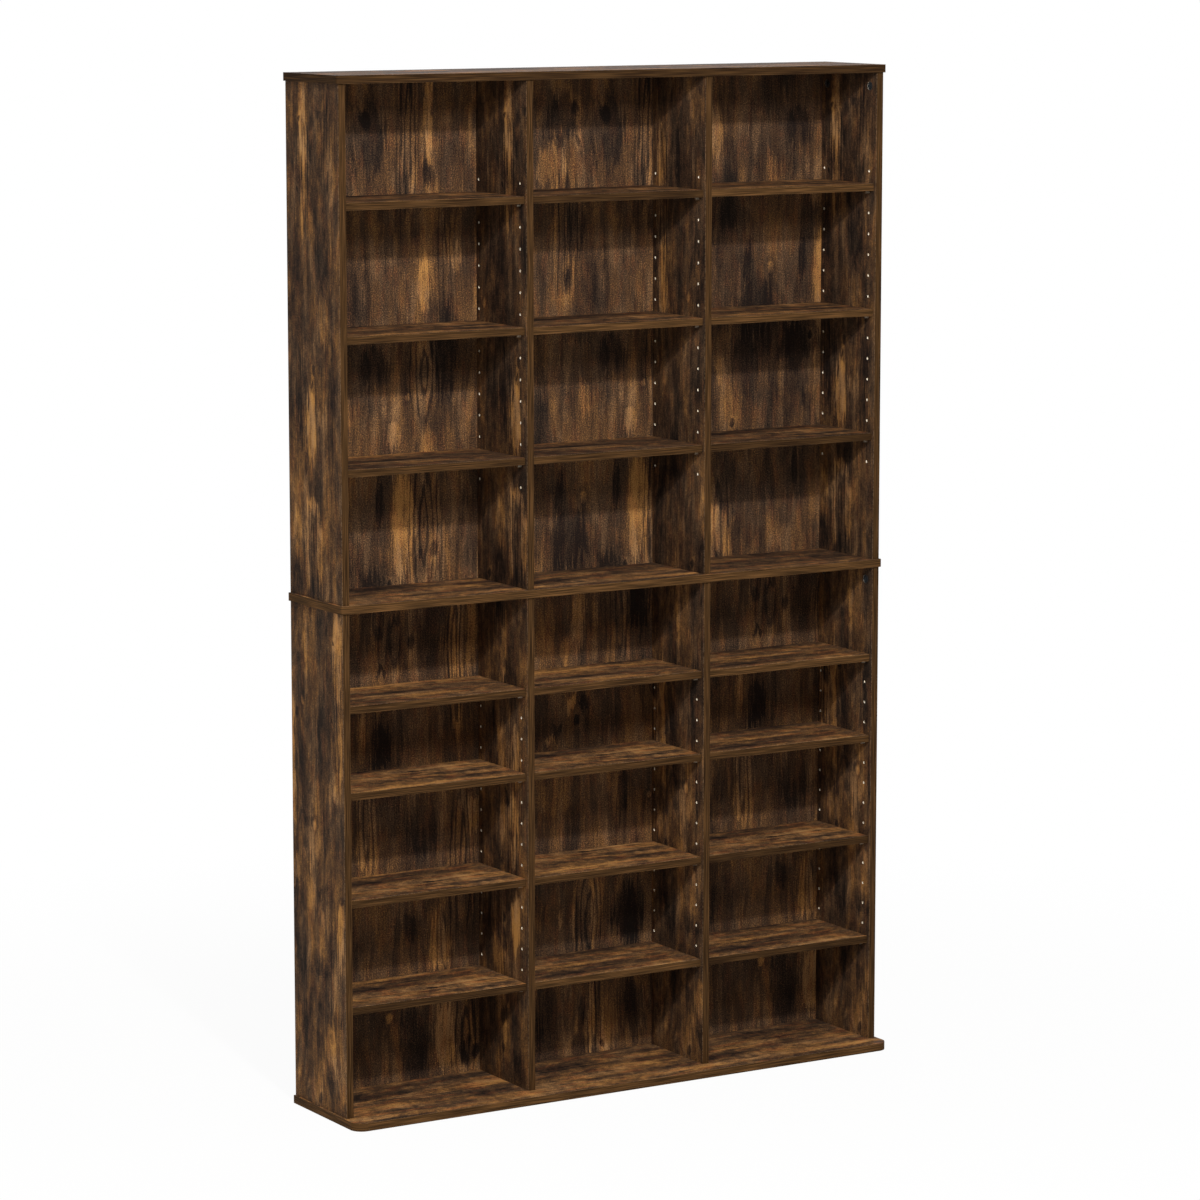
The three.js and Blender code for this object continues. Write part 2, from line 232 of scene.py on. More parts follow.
# Marks of the grain, millimetres wide and long, how finely they break up, and how strong they are: wide
# clouds, two sizes of blotches, fine straight lines and the finest flecks. The real lines and flecks
# are a few tenths of a millimetre wide, so they are drawn as coarse as they need to be to show.
CLOUDS = (64, 170, 3.0, 0.6)
BLOTCHES = ((26, 80, 4.0, 0.4), (8, 26, 4.0, 0.28))
LINES = (3.0, 110, 2.0, 0.34)
FLECKS = (1.8, 4, 2.0, 0.42)
# Where in the noise the first of them starts, and how far on each next one does.
MARK_START = 1.3
MARK_STEP = 2.1
# The print's other figures, millimetres wide and long, how finely they break up, and where they start:
# the drift of the whole grain, the ragged edges of stains, the fibres that they end in, the gnarled
# edges of knots, the waver of rings, wide zones, specks, open pores, and greyer and redder parts. The
# specks and pores stand for real ones a tenth as wide, which would not show.
DRIFT = (60, 260, 1.0, 3.7)
RAG = (8, 40, 4.0, 9.1)
FIBRES = (3.4, 60, 4.0, 2.2)
GNARL = (7, 12, 2.0, 6.2)
WAVER = (7, 110, 2.0, 8.3)
ZONES = (30, 260, 5.0, 5.3)
SPECKS = (1.6, 2.0, 1.0, 4.4)
PORES = (1.4, 9, 1.0, 0.6)
SMOKE = (38, 130, 3.0, 2.6)
RUST = (14, 60, 3.0, 7.7)
FIGURE_ROUGHNESS = 0.6
# How many millimetres the drift, the rag and the gnarl draw the print to and fro, across and along.
DRIFT_REACH = (14, 50, 0)
RAG_REACH = (9, 60, 0)
GNARL_REACH = (7, 12, 0)
# Where a mark fades in, as its figure or its distance in sizes: first where it starts, then where it
# is whole.
ZONE_FADE = (0.45, 0.54)
PORE_FADE = (0.64, 0.74)
SMOKE_FADE = (0.42, 0.62)
RUST_FADE = (0.5, 0.68)
KNOT_FADE = (1.3, 0.6)
HALO_FADE = (2.6, 1.4)
RING_FADE = (1.1, 0.7)
# A stain's edge, in sizes of the stain: how far the fibres carry it out, where it lies at least, and
# how much further in it is whole.
STAIN_FRAY = 1.5
STAIN_EDGE = 0.3
STAIN_FADE = 0.34
# A knot is half as long again as it is wide, and its halo is lighter by a part of how dark it is.
KNOT_LONG = 1.5
HALO_GAIN = 0.3
# Rings close so many half lengths up and down, and waver by up to so many radians. They turn from
# light to dark over a span of their wave, and are light by a part of how dark they are.
RING_LONG = 2.4
RING_WAVER = 7.0
RING_SPAN = (0.1, 0.9)
RING_LIGHT = 0.4
# How much lighter the wide zones are, and how much darker the pores.
ZONE_GAIN = 0.16
PORE_DARK = 0.12
# The colours of the wood from its darkest to its lightest tone, and those of its grey and red parts.
OAK_STOPS = (
    (0.0, "#211a17"), (0.15, "#33271f"), (0.36, "#4c3728"), (0.52, "#62472e"), (0.66, "#805a36"),
    (1.0, "#ba864a"),
)
GREY_OAK_STOPS = (
    (0.0, "#201b18"), (0.15, "#322922"), (0.36, "#4a3a2d"), (0.55, "#654d39"), (1.0, "#b48a60"),
)
RED_OAK_STOPS = (
    (0.0, "#231916"), (0.15, "#39271e"), (0.36, "#573525"), (0.55, "#7b4c2e"), (1.0, "#bf8049"),
)
# How gritty, grey, red and blotchy each print is, and how long its blotches and lines are.
UPRIGHT = {"grit": 0.65, "grey": 0.65, "red": 0.3, "blotch": 1.5, "stretch": 0.6}
BACK = {"grit": 0.95, "grey": 0.6, "red": 0.35, "blotch": 0.6, "stretch": 0.8}
SHELF = {"grit": 0.55, "grey": 0.45, "red": 0.8, "blotch": 1.9, "stretch": 0.36}
# A Mix node's colour inputs and output share their names with others of its sockets, so they go by
# number.
FIRST = 6
SECOND = 7
MIXED = 2


def oak_print(name, stains, knots, rings, level, grit, grey, red, blotch, stretch):
    """A printed oak as a node group, from a place in millimetres across and along the grain."""
    tree = bpy.data.node_groups.new(name, "ShaderNodeTree")
    tree.interface.new_socket("Place", in_out="INPUT", socket_type="NodeSocketVector")
    tree.interface.new_socket("Colour", in_out="OUTPUT", socket_type="NodeSocketColor")
    tree.interface.new_socket("Relief", in_out="OUTPUT", socket_type="NodeSocketFloat")
    place = add(tree, "NodeGroupInput")

    def figure(wide, long, detail, start, source=place):
        """Marks about so many millimetres wide and long."""
        links = {0: source, 1: (1 / wide, 1 / long, 0), 2: (start, start, 0)}
        spread = add(tree, "ShaderNodeVectorMath", links, operation="MULTIPLY_ADD")
        links = {"Vector": spread, "Scale": 1.0, "Detail": detail, "Roughness": FIGURE_ROUGHNESS}
        return add(tree, "ShaderNodeTexNoise", links, noise_dimensions="2D")

    def strayed(source, size, reach):
        """The place, drawn aside by up to half of reach by a figure of that size."""
        noise = figure(*size).outputs["Color"]
        back = tuple(-0.5 * r for r in reach)
        aside = add(tree, "ShaderNodeVectorMath", {0: noise, 1: reach, 2: back}, operation="MULTIPLY_ADD")
        return add(tree, "ShaderNodeVectorMath", {0: source, 1: aside}, operation="ADD")

    def around(source, across, along, wide, long):
        """How far a place is from a spot, in spot sizes."""
        links = {0: source, 1: (1 / wide, 1 / long, 0), 2: (-across / wide, -along / long, 0)}
        offset = add(tree, "ShaderNodeVectorMath", links, operation="MULTIPLY_ADD")
        return add(tree, "ShaderNodeVectorMath", {0: offset}, operation="LENGTH").outputs["Value"]

    def faded(value, start, whole, gain):
        """Nothing at start, the whole gain at whole."""
        links = {"Value": value, "From Min": start, "From Max": whole, "To Min": 0.0, "To Max": gain}
        return add(tree, "ShaderNodeMapRange", links, interpolation_type="SMOOTHSTEP")

    drifted = strayed(place, DRIFT, DRIFT_REACH)
    ragged = strayed(drifted, RAG, RAG_REACH)
    # The wood's tone is its plain level and what each mark in turn adds to it, or takes from it.
    tone = level
    # The stains end in fibres: their edge runs out and in along the grain.
    fibres = figure(*FIBRES, drifted)
    rim = add(tree, "ShaderNodeMath", {0: fibres, 1: STAIN_FRAY, 2: STAIN_EDGE}, operation="MULTIPLY_ADD")
    core = add(tree, "ShaderNodeMath", {0: rim, 1: STAIN_FADE}, operation="SUBTRACT")
    for across, along, wide, long, gain in stains:
        stain = faded(around(ragged, across, along, wide, long), rim, core, gain)
        tone = add(tree, "ShaderNodeMath", {0: tone, 1: stain}, operation="ADD")
    gnarled = strayed(drifted, GNARL, GNARL_REACH)
    for across, along, size, gain in knots:
        radius = around(gnarled, across, along, size, size * KNOT_LONG)
        knot = faded(radius, *KNOT_FADE, -gain)
        tone = add(tree, "ShaderNodeMath", {0: tone, 1: knot}, operation="ADD")
        halo = faded(radius, *HALO_FADE, gain * HALO_GAIN)
        tone = add(tree, "ShaderNodeMath", {0: tone, 1: halo}, operation="ADD")
    # Growth rings: nested dark lines, nearly straight, that close far above and below.
    uneven = figure(*WAVER, drifted)
    for across, along, wide, long, count, gain in rings:
        radius = around(drifted, across, along, wide, RING_LONG * long)
        turns = 2 * math.pi * count
        phase = add(tree, "ShaderNodeMath", {0: radius, 1: turns}, operation="MULTIPLY")
        phase = add(tree, "ShaderNodeMath", {0: uneven, 1: RING_WAVER, 2: phase}, operation="MULTIPLY_ADD")
        wave = add(tree, "ShaderNodeMath", {0: phase}, operation="SINE")
        links = {
            "Value": wave, "From Min": RING_SPAN[0], "From Max": RING_SPAN[1],
            "To Min": gain * RING_LIGHT, "To Max": -gain,
        }
        line = add(tree, "ShaderNodeMapRange", links)
        there = faded(around(ragged, across, along, wide, long), *RING_FADE, 1.0)
        tone = add(tree, "ShaderNodeMath", {0: line, 1: there, 2: tone}, operation="MULTIPLY_ADD")
    # Wide zones with crisp straight borders.
    zones = faded(figure(*ZONES, drifted), *ZONE_FADE, ZONE_GAIN)
    tone = add(tree, "ShaderNodeMath", {0: tone, 1: zones}, operation="ADD")
    blotches = [(wide, long * stretch, detail, gain * blotch) for wide, long, detail, gain in BLOTCHES]
    lines = (LINES[0], LINES[1] * stretch, *LINES[2:])
    for i, (wide, long, detail, gain) in enumerate([CLOUDS, *blotches, lines, FLECKS]):
        mark = figure(wide, long, detail, MARK_START + MARK_STEP * i, drifted)
        mark = add(tree, "ShaderNodeMath", {0: mark, 1: gain, 2: -gain / 2}, operation="MULTIPLY_ADD")
        tone = add(tree, "ShaderNodeMath", {0: tone, 1: mark}, operation="ADD")
    speck = figure(*SPECKS)
    speck = add(tree, "ShaderNodeMath", {0: speck, 1: grit, 2: -grit / 2}, operation="MULTIPLY_ADD")
    tone = add(tree, "ShaderNodeMath", {0: tone, 1: speck}, operation="ADD")
    # Open pores: short dark ticks along the grain.
    pores = faded(figure(*PORES), *PORE_FADE, 1.0)
    tone = add(tree, "ShaderNodeMath", {0: pores, 1: -PORE_DARK, 2: tone}, operation="MULTIPLY_ADD")

    warm = add(tree, "ShaderNodeValToRGB", {"Fac": tone}, OAK_STOPS)
    smoky = add(tree, "ShaderNodeValToRGB", {"Fac": tone}, GREY_OAK_STOPS)
    rusty = add(tree, "ShaderNodeValToRGB", {"Fac": tone}, RED_OAK_STOPS)
    greyness = faded(figure(*SMOKE), *SMOKE_FADE, grey)
    redness = faded(figure(*RUST), *RUST_FADE, red)
    links = {"Factor": greyness, FIRST: warm, SECOND: smoky}
    wood = add(tree, "ShaderNodeMix", links, data_type="RGBA").outputs[MIXED]
    links = {"Factor": redness, FIRST: wood, SECOND: rusty}
    wood = add(tree, "ShaderNodeMix", links, data_type="RGBA").outputs[MIXED]
    relief = add(tree, "ShaderNodeMath", {0: speck, 1: pores}, operation="SUBTRACT")
    add(tree, "NodeGroupOutput", {"Colour": wood, "Relief": relief})
    return tree


# The foil is satin, a little smoother where it is raised, and embossed by a fraction of a millimetre.
MATT_SHEEN = 0.012
RELIEF_SPAN = (0.2, 0.8)
SATIN = (0.56, 0.46)
EMBOSS = {"Strength": 0.25, "Distance": 0.0002}
# A painted highlight on the front arris, a pale line: its colour, how many metres behind the front it
# starts to show and is whole, how finely it is broken, and how strongly it shows. It is drawn 1 mm wide.
ARRIS_GLINT_COLOUR = "#a58a6c"
ARRIS_GLINT_SPAN = (0.0014, 0.0007)
BREAKS_PER_METRE = 420.0
BREAK_FADE = (0.42, 0.6)
ARRIS_GLINT_STRENGTH = 0.6


def printed_face(name, decor, axes, scale, start, front, sheen=MATT_SHEEN):
    """Melamine foil with the decor on it: satin, with a faint embossed grain. Along the board's front a
    fine broken pale line is painted in as the highlight on the arris."""
    made, tree = new_material(name)
    place = add(tree, "ShaderNodeTexCoord").outputs["Object"]
    parts = add(tree, "ShaderNodeSeparateXYZ", {0: place})
    turned = add(tree, "ShaderNodeCombineXYZ", {0: parts.outputs[axes[0]], 1: parts.outputs[axes[1]]})
    links = {0: turned, 1: (*scale, 0), 2: (*start, 0)}
    spot = add(tree, "ShaderNodeVectorMath", links, operation="MULTIPLY_ADD")
    wood = add(tree, "ShaderNodeGroup", node_tree=decor)
    tree.links.new(spot.outputs[0], wood.inputs["Place"])
    # The pale line along the front is a painted highlight on the arris.
    starts, whole = ARRIS_GLINT_SPAN
    links = {"Value": parts.outputs["Y"], "From Min": front + starts, "From Max": front + whole}
    edge = add(tree, "ShaderNodeMapRange", links)
    breaks = add(tree, "ShaderNodeTexNoise", {"Vector": place, "Scale": BREAKS_PER_METRE, "Detail": 0.0})
    links = {"Value": breaks, "From Min": BREAK_FADE[0], "From Max": BREAK_FADE[1], "To Max": ARRIS_GLINT_STRENGTH}
    broken = add(tree, "ShaderNodeMapRange", links)
    line = add(tree, "ShaderNodeMath", {0: edge, 1: broken}, operation="MULTIPLY")
    links = {"Factor": line, FIRST: wood.outputs["Colour"], SECOND: linear(ARRIS_GLINT_COLOUR)}
    colour = add(tree, "ShaderNodeMix", links, data_type="RGBA").outputs[MIXED]
    relief = wood.outputs["Relief"]
    links = {
        "Value": relief, "From Min": RELIEF_SPAN[0], "From Max": RELIEF_SPAN[1],
        "To Min": SATIN[0], "To Max": SATIN[1],
    }
    satin = add(tree, "ShaderNodeMapRange", links)
    emboss = add(tree, "ShaderNodeBump", {"Height": relief, **EMBOSS})
    links = {"Base Color": colour, "Roughness": satin, "Normal": emboss, "Specular IOR Level": sheen}
    surface = add(tree, "ShaderNodeBsdfPrincipled", links)
    add(tree, "ShaderNodeOutputMaterial", {"Surface": surface})
    return made


# The band's lines, so many to the millimetre across it and along it. They are coarser than the real
# ones, which would not show.
BAND_ACROSS = 0.8
BAND_ALONG = 0.012
BAND_ROUGHNESS = 0.5
BAND_TONES = {
    "dark": ((0.34, "#25180e"), (0.5, "#332314"), (0.66, "#49331d")),
    "middle": ((0.34, "#2a1c10"), (0.5, "#3b2917"), (0.66, "#553b22")),
    "light": ((0.34, "#312213"), (0.5, "#46311c"), (0.66, "#634528")),
}


def edge_band(name, across, along, tone):
    """Plain brown edge band, 0.4 mm thick: fine straight lines along the edge, satin."""
    made, tree = new_material(name)
    place = add(tree, "ShaderNodeTexCoord").outputs["Object"]
    over = add(tree, "ShaderNodeVectorMath", {0: place, 1: across}, operation="DOT_PRODUCT")
    run = add(tree, "ShaderNodeVectorMath", {0: place, 1: along}, operation="DOT_PRODUCT")
    spot = add(tree, "ShaderNodeCombineXYZ", {0: over.outputs["Value"], 1: run.outputs["Value"]})
    links = {"Vector": spot, "Scale": MM, "Detail": 2.0}
    lines = add(tree, "ShaderNodeTexNoise", links, noise_dimensions="2D")
    shade = add(tree, "ShaderNodeValToRGB", {"Fac": lines}, BAND_TONES[tone])
    links = {"Base Color": shade, "Roughness": BAND_ROUGHNESS, "Specular IOR Level": MATT_SHEEN}
    surface = add(tree, "ShaderNodeBsdfPrincipled", links)
    add(tree, "ShaderNodeOutputMaterial", {"Surface": surface})
    return made


# The flakes are about 1.4 mm across, darkest and palest where their noise is at the ends of this span.
FLAKES_PER_METRE = 700.0
FLAKE_SPAN = (0.3, 0.7)
FLAKE_BUMP = {"Strength": 0.5, "Distance": 0.0003}
CORE_ROUGHNESS = 0.85


def chipboard(name, dark, pale):
    """Raw chipboard: pressed wood flakes 1 to 3 mm across, dull."""
    made, tree = new_material(name)
    place = add(tree, "ShaderNodeTexCoord").outputs["Object"]
    flakes = add(tree, "ShaderNodeTexNoise", {"Vector": place, "Scale": FLAKES_PER_METRE, "Detail": 3.0})
    stops = ((FLAKE_SPAN[0], dark), (FLAKE_SPAN[1], pale))
    shade = add(tree, "ShaderNodeValToRGB", {"Fac": flakes}, stops)
    bump = add(tree, "ShaderNodeBump", {"Height": flakes, **FLAKE_BUMP})
    links = {"Base Color": shade, "Roughness": CORE_ROUGHNESS, "Normal": bump}
    surface = add(tree, "ShaderNodeBsdfPrincipled", links)
    add(tree, "ShaderNodeOutputMaterial", {"Surface": surface})
    return made


# The mottles of a plated surface, 1.1 mm across, and how much rougher or smoother than the rest they are.
MOTTLES_PER_METRE = 900.0
MOTTLE_SPREAD = 0.08


def plated(name, colour, roughness):
    """Plated steel or zinc, with a faint mottling in its gloss."""
    made, tree = new_material(name)
    place = add(tree, "ShaderNodeTexCoord").outputs["Object"]
    mottle = add(tree, "ShaderNodeTexNoise", {"Vector": place, "Scale": MOTTLES_PER_METRE, "Detail": 2.0})
    links = {"Value": mottle, "To Min": roughness - MOTTLE_SPREAD, "To Max": roughness + MOTTLE_SPREAD}
    gloss = add(tree, "ShaderNodeMapRange", links)
    links = {"Base Color": linear(colour), "Metallic": 1.0, "Roughness": gloss}
    surface = add(tree, "ShaderNodeBsdfPrincipled", links)
    add(tree, "ShaderNodeOutputMaterial", {"Surface": surface})
    return made


# How near to a side of its board a face has to lie, in metres, and how squarely, to be part of it.
FLUSH = 0.00005
SQUARE = 0.9


def board_box(mesh):
    """The lowest and highest corner of the board itself, without the pins and dowels that stand proud."""
    low_y = min(v.co.y for v in mesh.vertices)
    high_y = max(v.co.y for v in mesh.vertices)
    front = [v.co for v in mesh.vertices if v.co.y < low_y + FLUSH]
    low = (min(c.x for c in front), low_y, min(c.z for c in front))
    high = (max(c.x for c in front), high_y, max(c.z for c in front))
    return low, high


def dress(node, finishes, low, high):
    """Gives each face of a board the finish of its side: left, right, front, rear, bottom, top, bore for
    what is cut into it, and boss for what stands proud of it."""
    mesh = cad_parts[node].data
    mesh.materials.clear()
    order = list(dict.fromkeys(finishes.values()))
    for finish in order:
        mesh.materials.append(finish)
    sides = (("left", "right"), ("front", "rear"), ("bottom", "top"))
    for face in mesh.polygons:
        side = "bore"
        for axis in range(3):
            middle = face.center[axis]
            if middle < low[axis] - FLUSH or middle > high[axis] + FLUSH:
                side = "boss"
        for axis in range(3):
            square_on = abs(face.normal[axis]) > SQUARE
            if side != "boss" and square_on and abs(face.center[axis] - low[axis]) < FLUSH:
                side = sides[axis][0]
            if side != "boss" and square_on and abs(face.center[axis] - high[axis]) < FLUSH:
                side = sides[axis][1]
        face.material_index = order.index(finishes[side])


# How wide an arris is sanded, in metres, and the angles in degrees under which faces count as one
# flat face and over which an edge is an arris.
ARRIS = 0.0005
FLAT = 1
SHARP = 80


def soften(node):
    """Breaks the square arrises of a board, as sanding does."""
    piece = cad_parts[node]
    piece.modifiers.new("joined corners", "WELD")
    flat = piece.modifiers.new("whole faces", "DECIMATE")
    flat.decimate_type = "DISSOLVE"
    flat.angle_limit = math.radians(FLAT)
    flat.delimit = {"MATERIAL"}
    arris = piece.modifiers.new("arris", "BEVEL")
    arris.width = ARRIS
    arris.segments = 2
    arris.limit_method = "ANGLE"
    arris.angle_limit = math.radians(SHARP)
    arris.harden_normals = True


# The print of the upper unit, a darker copy of it that paints in shade, and the print of the lower unit,
# with how light each is.
upright_prints = {}
for batch, stains, knots, rings, level in (
    ("upper", UPPER_STAINS, UPPER_KNOTS, UPPER_RINGS, 0.32),
    ("dark upper", UPPER_STAINS, UPPER_KNOTS, UPPER_RINGS, 0.26),
    ("lower", LOWER_STAINS, LOWER_KNOTS, LOWER_RINGS, 0.33),
):
    title = f"smoked oak print, {batch} uprights"
    upright_prints[batch] = oak_print(title, stains, knots, rings, level, **UPRIGHT)
# Which print each panel is of, and how many millimetres aside it is cut from the sheet. The dividers and
# the right side panel of the upper unit take the darker copy: painted shade on the inner walls, which the
# lamps light less.
UPRIGHT_CUT = {
    "upper_left_side_panel": ("upper", 0),
    "upper_left_divider": ("dark upper", 67),
    "upper_right_divider": ("dark upper", 158),
    "upper_right_side_panel": ("dark upper", 0),
    "lower_left_side_panel": ("lower", 0),
    "lower_left_divider": ("lower", 400),
    "lower_right_divider": ("lower", 50),
    "lower_right_side_panel": ("lower", 66),
}
upright_band = edge_band("upright edge band", (BAND_ACROSS, 0, 0), (0, 0, BAND_ALONG), "middle")
bare_core = chipboard("bare chipboard", dark="#8b6b48", pale="#c6a478")
# The bores are far paler than the bare core: the pale core and a painted highlight, so that the holes show
# as bright dots even in shade.
bored_core_and_highlight = chipboard("bored chipboard and painted highlight", dark="#e9dcc0", pale="#fff6e6")
pin_steel = plated("nickel-plated pin steel", colour="#d6ccb8", roughness=0.45)
for node, (batch, cut) in UPRIGHT_CUT.items():
    title = f"smoked oak foil, {node.replace('_', ' ')}"
    start = (PANEL_REAR - cut, 0)
    foil = printed_face(title, upright_prints[batch], ("Y", "Z"), (-MM, MM), start, UPRIGHT_FRONT)
    finishes = {
        "left": foil, "right": foil, "front": upright_band, "rear": bare_core,
        "bottom": bare_core, "top": bare_core, "bore": bored_core_and_highlight, "boss": pin_steel,
    }
    dress(node, finishes, *board_box(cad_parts[node].data))
    soften(node)


# Back panels.
# 3 mm hardboard let into grooves. The front is printed with the same decor, duller and grainier, with
# the grain upright; the rear is left raw.

# Here the millimetres across count from the middle of the cabinet, to the right.
UPPER_BACK_STAINS = (
    (-40, 1600, 30, 34, 0.26), (196, 1690, 11, 84, 0.36), (195, 1590, 14, 26, -0.3),
    (12, 1500, 24, 46, -0.23), (172, 1400, 44, 56, 0.12), (188, 1408, 13, 56, 0.24),
    (253, 1465, 13, 28, 0.24), (126, 1150, 14, 26, 0.24), (191, 1130, 12, 26, 0.22),
    (35, 1185, 16, 40, 0.14), (88, 1272, 30, 46, -0.23), (141, 992, 24, 100, 0.34),
    (233, 942, 18, 46, 0.12), (-20, 1030, 8, 36, -0.23), (100, 1040, 8, 44, -0.23),
    (-87, 1260, 16, 56, 0.28), (18, 1245, 42, 60, 0.14), (-75, 552, 28, 46, 0.26),
    (43, 550, 26, 44, 0.16), (80, 1660, 40, 70, -0.22), (-10, 1680, 40, 50, -0.27),
    (240, 1600, 30, 90, -0.19), (230, 1300, 24, 90, -0.24), (-120, 1500, 30, 90, -0.14),
    (60, 1400, 30, 60, -0.14), (0, 950, 44, 60, -0.22), (-130, 1000, 30, 90, 0.08),
    (-60, 1150, 26, 70, -0.19), (-120, 1700, 26, 60, 0.1), (-20, 980, 150, 110, -0.07),
    (50, 1250, 100, 70, -0.06), (-77, 800, 16, 66, 0.14), (-22, 850, 32, 66, -0.16),
    (78, 880, 34, 44, -0.2), (132, 810, 10, 84, 0.24), (-18, 580, 26, 74, -0.12),
    (84, 650, 8, 44, -0.2), (-130, 670, 30, 60, -0.1), (60, 780, 50, 50, -0.08),
    (104, 775, 16, 24, -0.16),
)
LOWER_BACK_STAINS = (
    (425, 748, 13, 8, -0.27), (570, 800, 16, 80, 0.06), (603, 790, 11, 80, 0.24),
    (382, 640, 10, 50, 0.2), (420, 615, 24, 50, -0.32), (578, 630, 9, 60, 0.18),
    (365, 660, 22, 28, 0.1), (380, 420, 12, 44, 0.16), (604, 475, 13, 42, 0.34),
    (480, 290, 22, 30, -0.22), (535, 250, 24, 52, 0.28), (545, 85, 21, 76, 0.34),
    (480, 80, 34, 76, -0.22), (590, 55, 18, 26, -0.3), (450, 800, 40, 60, -0.16),
    (500, 460, 34, 60, -0.22), (430, 470, 24, 60, 0.06), (350, 780, 30, 70, 0.06),
    (330, 300, 30, 90, -0.14), (240, 600, 40, 90, -0.16), (20, 800, 19, 66, 0.3),
    (145, 815, 32, 50, -0.32), (-10, 750, 12, 26, 0.2), (6, 660, 12, 16, 0.34),
    (35, 655, 17, 12, -0.26), (-42, 590, 13, 9, 0.28), (-25, 605, 10, 14, -0.26),
    (-30, 490, 32, 42, 0.14), (112, 490, 13, 50, -0.27), (45, 262, 6, 66, 0.2), (12, 270, 5, 66, 0.16),
    (125, 265, 36, 62, -0.31), (-17, 265, 6, 13, 0.28), (45, 85, 8, 84, 0.32), (75, 62, 13, 52, 0.16),
    (24, 85, 8, 30, -0.27), (-110, 800, 30, 60, 0.08), (-120, 620, 34, 60, -0.16),
    (-110, 280, 40, 70, -0.14), (-100, 80, 50, 70, -0.19), (130, 90, 36, 60, -0.19),
)
UPPER_BACK_KNOTS = (
    (15, 1700, 9, 0.28), (75, 1690, 11, 0.26), (20, 1640, 6, 0.3), (153, 1208, 5, -0.3),
    (200, 953, 9, 0.3), (31, 1023, 7, -0.26), (-10, 1405, 16, 0.14), (186, 1250, 12, 0.14),
    (-52, 743, 5, 0.4), (113, 900, 5, 0.4),
)
LOWER_BACK_KNOTS = (
    (419, 805, 8, 0.26), (480, 795, 9, 0.28), (434, 128, 6, -0.3), (605, 55, 9, 0.4), (17, 622, 7, 0.4),
    (164, 472, 4, -0.34), (18, 35, 15, 0.34), (67, 25, 5, 0.4),
)
UPPER_BACK_RINGS = (
    (156, 1660, 24, 180, 3, 0.24), (-5, 1480, 34, 130, 3, 0.24), (186, 1250, 40, 90, 4, 0.24),
    (181, 1000, 40, 130, 4, 0.24), (-80, 560, 34, 120, 3, 0.18), (230, 1420, 24, 140, 3, 0.15),
)
LOWER_BACK_RINGS = (
    (570, 770, 22, 150, 3, 0.27), (580, 400, 36, 140, 4, 0.24), (585, 90, 34, 80, 3, 0.27),
    (448, 800, 46, 70, 3, 0.15), (390, 470, 26, 110, 3, 0.21), (100, 800, 30, 120, 3, 0.18),
    (40, 260, 36, 110, 4, 0.21), (50, 80, 24, 120, 3, 0.21), (545, 250, 26, 80, 3, 0.15),
)
# Which print each column's back is of, and how many millimetres to the side and up its place on the
# sheet lies. The upper right one takes the darker copy, painted shade for the weaker light on the right.
BACK_CUT = {
    "upper_left": ("upper", (476, 0)),
    "upper_centre": ("upper", (0, 0)),
    "upper_right": ("dark upper", (-392, -390)),
    "lower_left": ("lower", (800, 0)),
    "lower_centre": ("lower", (0, 0)),
    "lower_right": ("lower", (24, -8)),
}
# A back gets no painted highlight along its front, so that line is laid far in front of it.
NO_LINE = -1.0
# The hardboard's mottles, 6 mm across, and the mesh that the screen left, which is drawn 1.7 mm wide
# where the real one is 1 mm, so that it shows.
BOARD_MOTTLES_PER_METRE = 160.0
MESH_PER_METRE = 600.0
MESH_SHIFT = 0.3
MESH_BUMP = {"Strength": 0.4, "Distance": 0.0002}
HARDBOARD_STOPS = ((0.3, "#75583d"), (0.7, "#8a6b4d"))
HARDBOARD_ROUGHNESS = 0.8


def hardboard(name):
    """Raw hardboard: brown pressed fibre, faintly mottled, with the screen's fine mesh in its surface."""
    made, tree = new_material(name)
    place = add(tree, "ShaderNodeTexCoord").outputs["Object"]
    links = {"Vector": place, "Scale": BOARD_MOTTLES_PER_METRE, "Detail": 6.0}
    mottle = add(tree, "ShaderNodeTexNoise", links)
    shade = add(tree, "ShaderNodeValToRGB", {"Fac": mottle}, HARDBOARD_STOPS)
    links = {"Vector": place, "Scale": MESH_PER_METRE, "Randomness": MESH_SHIFT}
    mesh_marks = add(tree, "ShaderNodeTexVoronoi", links)
    bump = add(tree, "ShaderNodeBump", {"Height": mesh_marks, **MESH_BUMP})
    links = {"Base Color": shade, "Roughness": HARDBOARD_ROUGHNESS, "Normal": bump}
    surface = add(tree, "ShaderNodeBsdfPrincipled", links)
    add(tree, "ShaderNodeOutputMaterial", {"Surface": surface})
    return made


# The backs' prints. The darker copy of the upper one paints in shade.
back_prints = {}
for batch, stains, knots, rings, level in (
    ("upper", UPPER_BACK_STAINS, UPPER_BACK_KNOTS, UPPER_BACK_RINGS, 0.32),
    ("dark upper", UPPER_BACK_STAINS, UPPER_BACK_KNOTS, UPPER_BACK_RINGS, 0.26),
    ("lower", LOWER_BACK_STAINS, LOWER_BACK_KNOTS, LOWER_BACK_RINGS, 0.305),
):
    title = f"smoked oak print, {batch} backs"
    back_prints[batch] = oak_print(title, stains, knots, rings, level, **BACK)
raw_back = hardboard("raw hardboard")
for column, (batch, cut) in BACK_CUT.items():
    title = f"smoked oak foil, {column.replace('_', ' ')} back"
    foil = printed_face(title, back_prints[batch], ("X", "Z"), (MM, MM), cut, NO_LINE)
    finishes = dict.fromkeys(("left", "right", "bottom", "top", "rear", "bore", "boss"), raw_back)
    finishes["front"] = foil
    node = f"{column}_back_panel"
    dress(node, finishes, *board_box(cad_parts[node].data))
